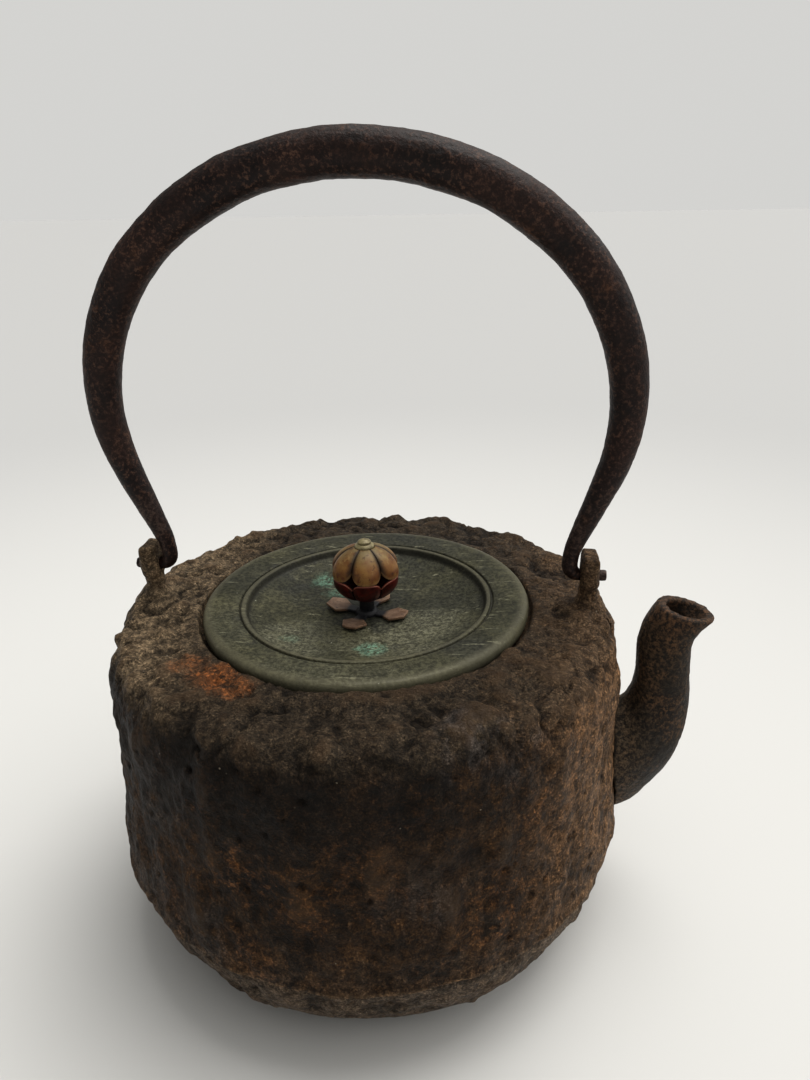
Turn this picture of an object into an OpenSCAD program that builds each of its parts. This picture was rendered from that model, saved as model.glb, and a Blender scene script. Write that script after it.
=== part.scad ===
// Iron kettle with a swinging bail handle, a bronze lid and a copper bud knob.
// Millimetres, +Z up. Origin: centre of the flat base. +X points along the spout.

/* [Body] */
// Height of the flat top ring above the base
ring_z = 105; // [95:1:115]
// Widest radius, low on the belly
belly_r = 80.6; // [78:0.2:84]
// Height of the widest point
belly_z = 38; // [34:1:42]
// Radius of the upright wall above the belly
wall_r = 78.2; // [76:0.2:80]
// Radius of the flat base
base_r = 50; // [44:1:54]
// Wall thickness of the iron
wall_t = 4; // [3:0.5:5]
// Height of the ledge where the bottom pan joins the shell
ledge_z = 34; // [26:1:34]

/* [Mouth and lid] */
// Radius of the mouth
mouth_r = 44; // [40:1:46]
// Outer radius of the lid
lid_r = 50; // [46:1:54]
// Height of the lid's rim above the base
lid_top_z = 108; // [107:0.5:109]
// Thickness of the lid's rounded rim
lid_rim_t = 5; // [4:0.5:6]
// Radius of the dished centre, inside the raised ring
dish_r = 36.6; // [33:0.2:38]
// How far the dished centre lies below the rim
dish_depth = 6.4; // [5:0.2:6.6]

/* [Knob] */
// Radius of the bud
bud_r = 11; // [8:0.1:12]
// Half height of the bud
bud_half_h = 9; // [7:0.2:11]
// Height of the bud's middle above the base
bud_z = 116; // [115:0.5:118]
// Number of petals round the bud
petals = 6; // [5:1:8]
// Thickness of the copper sheet
sheet_t = 0.8; // [0.6:0.1:1]
// Radius of the stem through the lid
stem_r = 1.9; // [1.6:0.1:2.2]
// Turn of the bud about its stem, in degrees
bud_turn = 11; // [-30:1:30]
// Turn of the four-leaf seat, in degrees
seat_turn = -16; // [-45:1:45]

/* [Spout] */
// Wall thickness of the spout
spout_t = 2.6; // [2:0.2:3]
// Outer radius of the root that is let into the shell
root_r = 12; // [11:0.5:13]
// Height of the root's centre above the base
root_z = 54; // [50:1:58]

/* [Handle] */
// Height of the pivot axis above the base
pivot_z = 117; // [116:0.5:119]
// Half width of the arch at its widest, on the centre line
arch_r = 74.4; // [72:0.2:78]
// Height of the arch's widest point above the base
arch_wide_z = 168; // [160:1:175]
// Rise from the widest point to the top, on the centre line
arch_rise = 64.3; // [55:0.5:75]
// Bar diameter at the top of the arch
bar_top_d = 12.3; // [10:0.1:13]
// Bar diameter at the lower ends
bar_end_d = 4.8; // [4:0.2:6]
// Wall thickness of the hollow grip
grip_t = 1.6; // [1.2:0.1:2]
// Radius of the curve that turns the arch into its straight legs
leg_curve_r = 57; // [50:1:65]
// Lean of the straight legs, in degrees
leg_lean = 21; // [19:0.5:23]
// Radius of the curve that turns a leg upright above its pivot
foot_curve_r = 20; // [16:1:24]
// Radius of the bend into the pivot pin
bend_r = 3.2; // [3:0.1:3.6]
// Radius of the pivot pin
pin_r = 1.7; // [1.5:0.1:2]
// Running clearance round a pin or stem
run_gap = 0.08; // [0.05:0.01:0.1]

/* [Lugs] */
// Distance from the kettle's axis to the middle of a lug
lug_x = 67.6; // [67:0.1:68]
// Half thickness of a lug
lug_half_t = 2.3; // [2.1:0.1:2.6]
// Half depth of a lug, front to back
lug_half_d = 4.6; // [4.2:0.1:5.4]
// Height of a lug's top above the base
lug_top_z = 124; // [122:0.5:126]

/* [Hidden] */
$fn = 96;

// Shoulder: a quarter ellipse from the wall up to the top ring
shoulder_a = 7;
shoulder_b = 20;
shoulder_r = wall_r - shoulder_a;
// Mouth recess that the lid lies in, with a shelf that is thicker towards the shell
recess_r = lid_r + 1.2;
recess_z = lid_top_z - lid_rim_t - 0.1;
ring_lip_z = ring_z + 1.3;
mouth_t = 4.6;
shelf_slope = 0.6;
// Bottom pan: set in below the ledge, thicker at its heel, and lapped behind the shell
pan_inset = 1.2;
pan_heel_t = 3.8;
lap_h = 3;
lap_r = belly_r - 6;
pan_steps = 12;
// Spout root: where its tenon starts inside the shell, and a cut right through the wall
tenon_x = wall_r - wall_t - 0.6;
root_cut_x = tenon_x - 3;
root_cut_len = 16;
// The lid is concave below, with its seat out at the rim
lid_seat_z = lid_top_z - lid_rim_t;
dish_z = lid_top_z - dish_depth;
dish_t = 1.8;
dish_rise = 3.6;
dish_flat_r = 12;
flange_r = mouth_r - 1;
flange_t = 2.4;
flange_h = 7;
// Knob stack
seat_plate_t = 0.9;
seat_boss_z = dish_z + 1.4;
seat_boss_r = 3.1;
boss_flare = 0.6;
boss_taper = 0.4;
pole_lat = 72;
crease_depth = 0.07;
crease_lat = 13;
bud_low_z = bud_z - bud_half_h * sin(pole_lat);
bud_top_z = bud_z + bud_half_h * sin(pole_lat);
collar_r = 3;
collar_h = 1.1;
finial_r = 2.1;
finial_h = 1.1;
washer_r = 5;
washer_t = 1;
under_z = dish_z - dish_t;
peen_gap = 0.3;
peen_h = 1.2;
// Steps in the stem's radius, and the play of the bud on it
step_w = 0.4;
cup_play = 0.03;
// Handle path: length from the top of the arch to the end of the straight leg
arch_steps = 18;
curve_steps = 5;
leg_line_x = arch_r - leg_curve_r * (1 - cos(leg_lean));
leg_line_z = arch_wide_z - leg_curve_r * sin(leg_lean);
foot_z = pivot_z + bend_r;
foot_top_z = foot_z + foot_curve_r * sin(leg_lean);
foot_top_x = leg_line_x - (leg_line_z - foot_top_z) * tan(leg_lean);
foot_centre_x = foot_top_x + foot_curve_r * cos(leg_lean);
bend_centre_x = foot_centre_x - foot_curve_r + bend_r;
taper_len = 155;
taper_power = 3.6;
pin_stands_out = 2.6;
pin_end_x = lug_x + lug_half_t + pin_stands_out;
bar_sides = 20;

// Spout stations: [top edge x, z, bottom edge x, z, half width], root to mouth
stations = [
    [74.5, 71.0, 74.5, 31.0, 13.6],
    [81.0, 73.0, 83.5, 34.4, 12.5],
    [83.7, 77.6, 91.0, 41.6, 11.3],
    [84.4, 83.5, 97.3, 50.6, 10.0],
    [84.1, 89.5, 100.7, 61.5, 9.0],
    [83.8, 94.5, 101.2, 76.5, 8.4],
    [84.3, 98.8, 100.1, 89.5, 8.0],
    [85.7, 103.2, 100.3, 97.9, 7.8],
    [88.6, 108.4, 105.6, 104.7, 7.9]
];
spout_sides = 24;
spout_steps = 3;
// Way that the mouth of the spout faces
mouth_way = [0.21, 0, 0.98];

// Points of a circular or elliptical arc in the r-z half plane
function arc(cr, cz, a, b, from, to, n) =
    [for (i = [0 : n]) let (t = from + (to - from) * i / n) [cr + a * cos(t), cz + b * sin(t)]];

// Outer radius of the belly below its widest point, and of the blend above it
function low_r(z) = base_r + (belly_r - base_r) * sqrt(1 - pow((belly_z - z) / belly_z, 2));
function high_r(z) = (belly_r + wall_r) / 2
    + (belly_r - wall_r) / 2 * cos(180 * (z - belly_z) / (blend_top_z - belly_z));
blend_top_z = belly_z + 32;

// Outer profile from z0 up to the top ring, moved inwards by d
function side(z0, d) = concat(
    let (n = ceil(8 * (belly_z - z0) / belly_z))
        [for (i = [0 : n]) let (z = z0 + (belly_z - z0) * i / n) [low_r(z) - d, z]],
    [for (i = [1 : 8]) let (z = belly_z + (blend_top_z - belly_z) * i / 8) [high_r(z) - d, z]],
    arc(shoulder_r, ring_z - shoulder_b, shoulder_a - d, shoulder_b - d, 0, 90, 10));

// A closed skin through rings of points, with a flat cap at each end
module skin(rings) {
    n = len(rings[0]);
    m = len(rings);
    faces = concat(
        [[for (i = [0 : n - 1]) i]],
        [for (k = [0 : m - 2], i = [0 : n - 1]) [k * n + i, (k + 1) * n + i, k * n + (i + 1) % n]],
        [for (k = [0 : m - 2], i = [0 : n - 1])
            [k * n + (i + 1) % n, (k + 1) * n + i, (k + 1) * n + (i + 1) % n]],
        [[for (i = [0 : n - 1]) (m - 1) * n + n - 1 - i]]);
    polyhedron(points = [for (ring = rings) each ring], faces = faces, convexity = 6);
}

// Everything inside the kettle's outer surface
module outer_solid() {
    rotate_extrude()
        polygon(concat([[0, 0]], side(0, 0), [[recess_r, ring_lip_z], [0, ring_lip_z]]));
}

// ---------- body ----------

module body_shell() {
    color("#3b332d")
    difference() {
        rotate_extrude()
            polygon(concat(
                side(ledge_z, 0),
                [[recess_r, ring_lip_z], [recess_r, recess_z], [mouth_r, recess_z]],
                [[mouth_r, recess_z - mouth_t], [recess_r, recess_z - mouth_t - shelf_slope]],
                inner_side()));
        translate([root_cut_x, 0, root_z])
            rotate([0, 90, 0]) cylinder(r = root_r, h = root_cut_len);
    }
}

// Inside of the shell, from the shoulder down to the lap behind the ledge
function inner_side() =
    let (s = side(ledge_z + lap_h, wall_t), n = len(s))
    concat([for (i = [n - 2 : -1 : 0]) s[i]], [[lap_r, ledge_z + lap_h], [lap_r, ledge_z]]);

module bottom_pan() {
    color("#433d38")
    rotate_extrude()
        polygon(concat(
            [[0, 0]],
            [for (i = [0 : pan_steps]) let (z = ledge_z * i / pan_steps) [low_r(z) - pan_inset, z]],
            [[lap_r, ledge_z], [lap_r, ledge_z + lap_h], [lap_r - wall_t, ledge_z + lap_h]],
            [for (i = [pan_steps : -1 : 0]) let (z = wall_t + (ledge_z - wall_t) * i / pan_steps)
                [min(lap_r, low_r(z) - pan_inset - pan_heel_t * (1 - i / pan_steps)) - wall_t, z]],
            [[0, wall_t]]));
}

// ---------- spout ----------

// Smooth value between b and c at t, with neighbours a and d
function blend(a, b, c, d, t) = 0.5 * (2 * b + (c - a) * t
    + (2 * a - 5 * b + 4 * c - d) * t * t + (3 * b - a - 3 * c + d) * t * t * t);
last_station = len(stations) - 1;
function at(i) = stations[max(0, min(last_station, i))];
function station(u) = let (i = min(floor(u), last_station - 1), t = u - i)
    blend(at(i - 1), at(i), at(i + 1), at(i + 2), t);

// Ring of the spout at station u, with the wall moved inwards by d
function spout_ring(u, d) =
    let (s = station(u), mx = (s[0] + s[2]) / 2, mz = (s[1] + s[3]) / 2)
    let (hx = (s[0] - s[2]) / 2, hz = (s[1] - s[3]) / 2, h = norm([hx, hz]), k = (h - d) / h)
    [for (i = [0 : spout_sides - 1]) let (t = 360 * i / spout_sides)
        [mx + k * hx * cos(t), -(s[4] - d) * sin(t), mz + k * hz * cos(t)]];

// Rings of the whole spout; the mouth end can run on past the rim
function spout_rings(d, run_on) = concat(
    [for (i = [0 : last_station * spout_steps]) spout_ring(i / spout_steps, d)],
    run_on > 0 ? [[for (p = spout_ring(last_station, d)) p + run_on * mouth_way]] : []);

module spout() {
    color("#372f2a")
    difference() {
        union() {
            difference() {
                skin(spout_rings(0, 0));
                outer_solid();
            }
            translate([tenon_x, 0, root_z])
                rotate([0, 90, 0]) cylinder(r = root_r, h = belly_r - tenon_x + 1);
        }
        skin(spout_rings(spout_t, 4));
        translate([root_cut_x, 0, root_z])
            rotate([0, 90, 0]) cylinder(r = root_r - spout_t, h = root_cut_len);
    }
}

// ---------- handle lugs ----------

module lug() {
    top_round = 1;
    low_round = 3;
    low_z = pivot_z - 1.6;
    neck_r = 2.9;
    mound_r = 9;
    mound_h = 9;
    mound_z = ring_z - 4;
    difference() {
        union() {
            hull() {
                for (sx = [-1, 1], sy = [-1, 1])
                    translate([lug_x + sx * (lug_half_t - top_round),
                               sy * (lug_half_d - top_round), lug_top_z - top_round])
                        sphere(r = top_round, $fn = 24);
                for (sy = [-1, 1])
                    translate([lug_x, sy * (lug_half_d - low_round), low_z])
                        sphere(r = low_round, $fn = 32);
            }
            translate([lug_x, 0, mound_z]) cylinder(r = neck_r, h = low_z - mound_z);
            translate([lug_x, 0, mound_z]) cylinder(r1 = mound_r, r2 = neck_r, h = mound_h);
        }
        outer_solid();
        translate([lug_x - 10, 0, pivot_z])
            rotate([0, 90, 0]) cylinder(r = pin_r + run_gap, h = 20);
    }
}

module lug_right() { color("#332c27") lug(); }
module lug_left() { color("#332c27") mirror([1, 0, 0]) lug(); }

// ---------- handle ----------

// Centre line from the top of the arch to the foot of the right leg: [x, z, heading]
arch_line = [for (i = [0 : arch_steps]) let (t = 90 - 90 * i / arch_steps)
    [arch_r * cos(t), arch_wide_z + arch_rise * sin(t),
     atan2(-arch_rise * cos(t), arch_r * sin(t))]];
curve_line = [for (i = [1 : curve_steps]) let (t = -leg_lean * i / curve_steps)
    [arch_r - leg_curve_r * (1 - cos(t)), arch_wide_z + leg_curve_r * sin(t), t - 90]];
leg_line = [for (i = [0 : 4]) let (k = i / 4)
    [leg_line_x + (foot_top_x - leg_line_x) * k, leg_line_z + (foot_top_z - leg_line_z) * k,
     -90 - leg_lean]];
foot_line = [for (i = [0 : 4]) let (t = 180 - leg_lean * (1 - i / 4))
    [foot_centre_x + foot_curve_r * cos(t), foot_z + foot_curve_r * sin(t), t - 270]];
bend_line = [for (i = [1 : 6]) let (t = 180 + 90 * i / 6)
    [bend_centre_x + bend_r * cos(t), foot_z + bend_r * sin(t), t - 270]];

// Length of a line up to its point k, and the bar's radius there
function run(line, k) = k <= 0 ? 0
    : run(line, k - 1) + norm([line[k][0] - line[k - 1][0], line[k][1] - line[k - 1][1]]);
function bar_r(s) = (bar_end_d + (bar_top_d - bar_end_d) * (1 - pow(min(s / taper_len, 1), taper_power))) / 2;

// Ring square to the heading h at point p
function bar_ring(p, r) = [for (i = [0 : bar_sides - 1]) let (t = 360 * i / bar_sides)
    [p[0] - r * cos(t) * sin(p[2]), -r * sin(t), p[1] + r * cos(t) * cos(p[2])]];

half_grip = concat(arch_line, curve_line);
grip_end = len(half_grip) - 1;
grip_len = run(half_grip, grip_end);

// Point past the foot of the grip, straight on by the length e
function past_foot(e) = let (p = half_grip[grip_end])
    [p[0] + e * cos(p[2]), p[1] + e * sin(p[2]), p[2]];
function other_side(p) = [-p[0], p[1], -p[2]];

// Whole grip from the left leg over the top to the right leg, wall moved in by d
function grip_rings(d) = concat(
    d > 0 ? [bar_ring(other_side(past_foot(1)), bar_r(grip_len) - d)] : [],
    [for (k = [grip_end : -1 : 1]) bar_ring(other_side(half_grip[k]), bar_r(run(half_grip, k)) - d)],
    [for (k = [0 : grip_end]) bar_ring(half_grip[k], bar_r(run(half_grip, k)) - d)],
    d > 0 ? [bar_ring(past_foot(1), bar_r(grip_len) - d)] : []);

module handle_grip() {
    color("#2e2624")
    difference() {
        skin(grip_rings(0));
        skin(grip_rings(grip_t));
    }
}

module handle_end() {
    leg_len = grip_len + run(leg_line, 4);
    leg_rings = [for (k = [0 : 4]) bar_ring(leg_line[k], bar_r(grip_len + run(leg_line, k)))];
    foot_rings = [for (k = [1 : 4]) bar_ring(foot_line[k], bar_r(leg_len + run(foot_line, k)))];
    end_r = bar_r(leg_len + run(foot_line, 4));
    bend_rings = [for (k = [0 : 5])
        bar_ring(bend_line[k], end_r + (pin_r - end_r) * pow((k + 1) / 6, 2))];
    skin(concat(leg_rings, foot_rings, bend_rings));
    translate([bend_centre_x - 0.2, 0, pivot_z])
        rotate([0, 90, 0]) cylinder(r = pin_r, h = pin_end_x - bend_centre_x + 0.2);
}

module handle_end_right() { color("#2b2422") handle_end(); }
module handle_end_left() { color("#2b2422") mirror([1, 0, 0]) handle_end(); }

// ---------- lid ----------

module lid_plate() {
    nose = lid_rim_t / 2;
    band_r = dish_r + 2.4;
    color("#5b5e4c")
    rotate_extrude()
        polygon(concat(
            [[stem_r + run_gap, under_z], [stem_r + run_gap, dish_z], [dish_flat_r, dish_z]],
            [for (i = [1 : 8]) let (k = i / 8)
                [dish_flat_r + (dish_r - dish_flat_r) * k, dish_z + dish_rise * k * k]],
            [[dish_r + 0.3, lid_top_z - 0.9], [dish_r + 1.4, lid_top_z - 0.7]],
            [[dish_r + 1.7, lid_top_z - 1.3], [band_r, lid_top_z - 0.7]],
            [[(band_r + lid_r) / 2, lid_top_z]],
            arc(lid_r - nose, lid_top_z - nose, nose, nose, 80, -90, 10),
            [[flange_r - flange_t, lid_seat_z]],
            [for (i = [8 : -1 : 0]) let (k = i / 8)
                [dish_flat_r + (flange_r - flange_t - 1 - dish_flat_r) * k,
                 under_z + (lid_seat_z - under_z) * k * k]]));
}

module lid_locating_ring() {
    color("#55564a")
    rotate_extrude()
        translate([flange_r - flange_t, lid_seat_z - flange_h]) square([flange_t, flange_h]);
}

module lid_under_washer() {
    color("#6b4a35")
    translate([0, 0, under_z - washer_t])
        difference() {
            cylinder(r = washer_r, h = washer_t);
            translate([0, 0, -1]) cylinder(r = stem_r + run_gap, h = washer_t + 2);
        }
}

// Four-leaf seat: a low boss, four arms and a lifted pentagonal leaf on each
module knob_seat() {
    arm_w = 3.2;
    arm_end = 6.2;
    leaf_len = 7.6;
    leaf_w = 8;
    leaf_lift = 7;
    color("#4a3a36")
    difference() {
        union() {
            translate([0, 0, dish_z]) cylinder(r1 = seat_boss_r + boss_flare, r2 = seat_boss_r - boss_taper,
                                               h = seat_boss_z - dish_z);
            for (k = [0 : 3])
                rotate([0, 0, seat_turn + 90 * k]) {
                    translate([0, -arm_w / 2, dish_z]) cube([arm_end, arm_w, seat_plate_t]);
                    translate([arm_end - 0.5, 0, dish_z + 0.1])
                        rotate([0, -leaf_lift, 0])
                            linear_extrude(seat_plate_t)
                                polygon([[0, -arm_w / 2], [leaf_len * 0.45, -leaf_w / 2],
                                         [leaf_len, -leaf_w / 4], [leaf_len, leaf_w / 4],
                                         [leaf_len * 0.45, leaf_w / 2], [0, arm_w / 2]]);
                }
        }
        translate([0, 0, dish_z - 1]) cylinder(r = stem_r + run_gap, h = 6);
    }
}

// ---------- knob ----------

// Radius of the petalled bud: lobes fade out towards both poles
function lobe_r(lat, az, d) = (bud_r - d) * cos(lat)
    * (1 - crease_depth * cos(lat) * pow(abs(cos(petals * az / 2)), 3));

// Latitude of a petal's rounded end: it draws back where two petals meet
function rim_lat(az) = 1 + crease_lat * pow(abs(cos(petals * az / 2)), 4);

// Section of the upper shell at one azimuth: bore, outside down to the rim, inside back up
function petal_section(az) =
    let (end = rim_lat(az), bore = stem_r + cup_play)
    let (lats = [for (j = [0 : 8]) pole_lat + (end - pole_lat) * j / 8])
    let (outside = [for (lat = lats) [lobe_r(lat, az, 0), bud_half_h * sin(lat)]])
    let (inside = [for (j = [8 : -1 : 0])
        [lobe_r(lats[j], az, sheet_t), (bud_half_h - sheet_t) * sin(lats[j])]])
    concat([[bore, outside[0][1]]], outside, inside, [[bore, inside[8][1]]]);

// A shell closed both along its section and all the way round
module petal_shell() {
    turns = 48;
    sections = [for (i = [0 : turns - 1]) petal_section(360 * i / turns)];
    m = len(sections[0]);
    points = [for (i = [0 : turns - 1], p = sections[i])
        [p[0] * cos(360 * i / turns), p[0] * sin(360 * i / turns), p[1]]];
    faces = [for (i = [0 : turns - 1], j = [0 : m - 1])
        let (i2 = (i + 1) % turns, j2 = (j + 1) % m)
        each [[i * m + j, i * m + j2, i2 * m + j2], [i * m + j, i2 * m + j2, i2 * m + j]]];
    translate([0, 0, bud_z])
        rotate([0, 0, bud_turn])
            polyhedron(points = points, faces = faces, convexity = 6);
}

module knob_upper_bud() { color("#9a6f42") petal_shell(); }

module knob_lower_cup() {
    color("#5a1c17")
    translate([0, 0, 2 * bud_z]) mirror([0, 0, 1]) petal_shell();
}

module knob_stem() {
    shoulder_z = seat_boss_z + peen_gap;
    peen_z = under_z - washer_t - peen_gap;
    color("#2c2826") {
        translate([0, 0, peen_z]) cylinder(r = stem_r, h = bud_top_z + collar_h - peen_z);
        translate([0, 0, peen_z - peen_h])
            cylinder(r1 = stem_r + step_w, r2 = stem_r + step_w + 1, h = peen_h);
        translate([0, 0, shoulder_z]) cylinder(r = stem_r + step_w, h = bud_low_z - shoulder_z);
    }
}

module knob_collar() {
    color("#7c6a48")
    translate([0, 0, bud_top_z])
        difference() {
            cylinder(r1 = collar_r, r2 = collar_r - 0.7, h = collar_h);
            translate([0, 0, -1]) cylinder(r = stem_r, h = collar_h + 2);
        }
}

module knob_finial() {
    color("#8d8357")
    translate([0, 0, bud_top_z + collar_h])
        rotate_extrude()
            polygon(concat([[0, 0]],
                arc(finial_r - finial_h / 2, finial_h / 2, finial_h / 2, finial_h / 2, -90, 90, 8),
                [[0, finial_h + 0.2]]));
}

body_shell();
bottom_pan();
spout();
lug_left();
lug_right();
handle_grip();
handle_end_left();
handle_end_right();
lid_plate();
lid_locating_ring();
knob_seat();
lid_under_washer();
knob_stem();
knob_lower_cup();
knob_upper_bud();
knob_collar();
knob_finial();
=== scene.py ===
"""Looks of the iron kettle: rough cast body, forged handle, patinated bronze lid and copper bud knob."""
import math

import bpy
import numpy as np
from mathutils import Matrix, Vector


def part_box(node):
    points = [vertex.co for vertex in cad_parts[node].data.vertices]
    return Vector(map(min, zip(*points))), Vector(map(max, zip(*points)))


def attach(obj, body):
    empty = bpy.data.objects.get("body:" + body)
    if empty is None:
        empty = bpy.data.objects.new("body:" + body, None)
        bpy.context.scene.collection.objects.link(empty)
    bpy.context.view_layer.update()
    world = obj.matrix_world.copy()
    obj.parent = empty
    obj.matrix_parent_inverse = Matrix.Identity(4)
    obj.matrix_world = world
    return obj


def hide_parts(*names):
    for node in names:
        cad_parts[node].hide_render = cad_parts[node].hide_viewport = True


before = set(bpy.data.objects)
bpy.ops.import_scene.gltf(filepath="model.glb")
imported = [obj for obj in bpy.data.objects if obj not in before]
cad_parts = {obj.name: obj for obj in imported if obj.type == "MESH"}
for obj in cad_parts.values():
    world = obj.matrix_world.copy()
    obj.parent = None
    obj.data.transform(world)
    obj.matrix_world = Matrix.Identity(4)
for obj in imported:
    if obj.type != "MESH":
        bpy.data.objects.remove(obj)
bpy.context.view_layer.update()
MM = 0.001
MOST_TRIANGLES = 190_000


# ---------- places read from the frame ----------

LID_LOW, LID_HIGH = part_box("lid_plate")
SHELL_LOW, SHELL_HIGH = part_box("body_shell")
BUD_LOW, BUD_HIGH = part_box("knob_upper_bud")
CUP_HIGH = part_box("knob_lower_cup")[1]
SEAT_LOW, SEAT_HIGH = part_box("knob_seat")
SPOUT_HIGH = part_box("spout")[1]
LUG_LOW, LUG_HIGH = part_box("lug_right")
LUG_X = 0.5 * (LUG_LOW.x + LUG_HIGH.x)
RING_Z = SHELL_HIGH.z
LEDGE_Z = SHELL_LOW.z
LID_TOP = LID_HIGH.z
LID_R = LID_HIGH.x
DISH_Z = SEAT_LOW.z
# Radius of the holes that the knob's stem passes through
STEM_BORE = 1.98 * MM


# ---------- noise over arrays of points ----------

def lattice(i, j, k, seed):
    """A repeatable random number from -1 to 1 for each lattice point."""
    h = (i * 374761393 + j * 668265263 + k * 1442695041 + seed * 974634777) & 0xFFFFFFFF
    h = ((h ^ (h >> 13)) * 1274126177) & 0xFFFFFFFF
    return ((h ^ (h >> 16)) & 0xFFFF) / 32767.5 - 1.0


def grain(points, size, seed):
    """Smooth noise from -1 to 1 with features of the given size."""
    q = points / size
    cell = np.floor(q).astype(np.int64)
    f = q - cell
    f = f * f * (3 - 2 * f)
    total = np.zeros(len(points))
    for corner in range(8):
        step = [corner & 1, corner >> 1 & 1, corner >> 2 & 1]
        weight = np.ones(len(points))
        for axis in range(3):
            weight *= f[:, axis] if step[axis] else 1 - f[:, axis]
        total += weight * lattice(*(cell[:, a] + step[a] for a in range(3)), seed)
    return total


def layered(points, size, seed, octaves=4):
    """Noise with finer and weaker copies of itself on top."""
    return sum(grain(points, size / 2 ** k, seed + k) * 0.5 ** k for k in range(octaves))


def pits(points, size, seed, share):
    """1 in the middle of scattered round pits and 0 outside; share is how many cells hold one."""
    q = points / size
    cell = np.floor(q).astype(np.int64)
    best = np.zeros(len(points))
    for step in np.ndindex(3, 3, 3):
        c = [cell[:, a] + step[a] - 1 for a in range(3)]
        centre = np.stack([c[a] + 0.5 + 0.4 * lattice(*c, seed + a) for a in range(3)], axis=1)
        radius = 0.28 + 0.14 * lattice(*c, seed + 3)
        held = lattice(*c, seed + 4) < 2 * share - 1
        d = np.linalg.norm(q - centre, axis=1) / radius
        best = np.maximum(best, np.where(held, np.clip(1 - d * d, 0, 1), 0))
    return best


def ramp(x, low, high):
    """Smooth step from 0 at low to 1 at high."""
    t = np.clip((x - low) / (high - low), 0, 1)
    return t * t * (3 - 2 * t)


# ---------- mesh building ----------

def add_object(name, mesh):
    obj = bpy.data.objects.new(name, mesh)
    bpy.context.scene.collection.objects.link(obj)
    return obj


def baked_modifiers(obj):
    """Replaces the object's mesh by what its modifiers make of it."""
    depsgraph = bpy.context.evaluated_depsgraph_get()
    mesh = bpy.data.meshes.new_from_object(obj.evaluated_get(depsgraph))
    obj.modifiers.clear()
    obj.data = mesh
    return obj


def points_of(obj):
    flat = np.empty(len(obj.data.vertices) * 3)
    obj.data.vertices.foreach_get("co", flat)
    return flat.reshape(-1, 3)


def normals_of(obj):
    flat = np.empty(len(obj.data.vertices) * 3)
    obj.data.vertex_normals.foreach_get("vector", flat)
    return flat.reshape(-1, 3)


def set_points(obj, points):
    obj.data.vertices.foreach_set("co", points.reshape(-1))
    obj.data.update()


def set_value(obj, name, values):
    """Stores one number per vertex, which a material can read."""
    layer = obj.data.attributes.new(name, "FLOAT", "POINT")
    layer.data.foreach_set("value", np.asarray(values, np.float32))


def smooth_shaded(obj):
    obj.data.polygons.foreach_set("use_smooth", [True] * len(obj.data.polygons))


def outer_island(mesh):
    """Marks the vertices of the connected part with the largest box, which leaves out closed cavities."""
    count = len(mesh.vertices)
    edges = np.empty(len(mesh.edges) * 2, np.int64)
    mesh.edges.foreach_get("vertices", edges)
    edges = edges.reshape(-1, 2)
    label = np.arange(count)
    while True:
        low = np.minimum(label[edges[:, 0]], label[edges[:, 1]])
        new = label.copy()
        np.minimum.at(new, edges[:, 0], low)
        np.minimum.at(new, edges[:, 1], low)
        new = new[new]
        if (new == label).all():
            break
        label = new
    flat = np.empty(count * 3)
    mesh.vertices.foreach_get("co", flat)
    co = flat.reshape(-1, 3)
    spans = {part: np.ptp(co[label == part], axis=0).sum() for part in np.unique(label)}
    keep = max(spans, key=spans.get)
    return label == keep


def grown_from(name, nodes, voxel, relax=3):
    """One even, closed mesh grown over CAD nodes, ready for relief; inner cavities are dropped."""
    vertices, faces = [], []
    for node in nodes:
        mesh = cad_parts[node].data
        start = len(vertices)
        vertices += [v.co.copy() for v in mesh.vertices]
        faces += [[start + i for i in p.vertices] for p in mesh.polygons]
    mesh = bpy.data.meshes.new(name)
    mesh.from_pydata(vertices, [], faces)
    obj = add_object(name, mesh)
    weld = obj.modifiers.new("weld", "WELD")
    weld.merge_threshold = 0.00001
    remesh = obj.modifiers.new("remesh", "REMESH")
    remesh.mode = "VOXEL"
    remesh.voxel_size = voxel
    soften = obj.modifiers.new("soften", "SMOOTH")
    soften.factor = 0.5
    soften.iterations = relax
    baked_modifiers(obj)
    keep = outer_island(obj.data)
    if not keep.all():
        old = obj.data
        index = np.cumsum(keep) - 1
        co = points_of(obj)[keep]
        kept = [[int(index[v]) for v in p.vertices] for p in old.polygons if keep[p.vertices[0]]]
        mesh = bpy.data.meshes.new(name)
        mesh.from_pydata(co.tolist(), [], kept)
        obj.data = mesh
    smooth_shaded(obj)
    return obj


def raise_relief(obj, height, scale):
    """Moves each vertex along its normal by height, and stores height / scale as relief."""
    co = points_of(obj)
    set_points(obj, co + normals_of(obj) * height[:, None])
    set_value(obj, "relief", height / scale)
    return obj


def rounded(corners, arc_steps=5):
    """Outline through (r, z, radius) corners, each rounded to its radius."""
    line = []
    for i, (r, z, radius) in enumerate(corners):
        here = Vector((r, z))
        if radius == 0 or i in (0, len(corners) - 1):
            line.append(tuple(here))
            continue
        before = Vector(corners[i - 1][:2]) - here
        after = Vector(corners[i + 1][:2]) - here
        reach = min(radius, 0.45 * before.length, 0.45 * after.length)
        a = here + before.normalized() * reach
        b = here + after.normalized() * reach
        for k in range(arc_steps + 1):
            t = k / arc_steps
            line.append(tuple(a * (1 - t) ** 2 + here * 2 * t * (1 - t) + b * t * t))
    return line


def split_long(line, longest):
    """The same outline with long stretches cut into shorter ones."""
    out = [line[0]]
    for a, b in zip(line, line[1:]):
        n = max(1, math.ceil(math.dist(a, b) / longest))
        out += [(a[0] + (b[0] - a[0]) * k / n, a[1] + (b[1] - a[1]) * k / n) for k in range(1, n + 1)]
    return out


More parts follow.
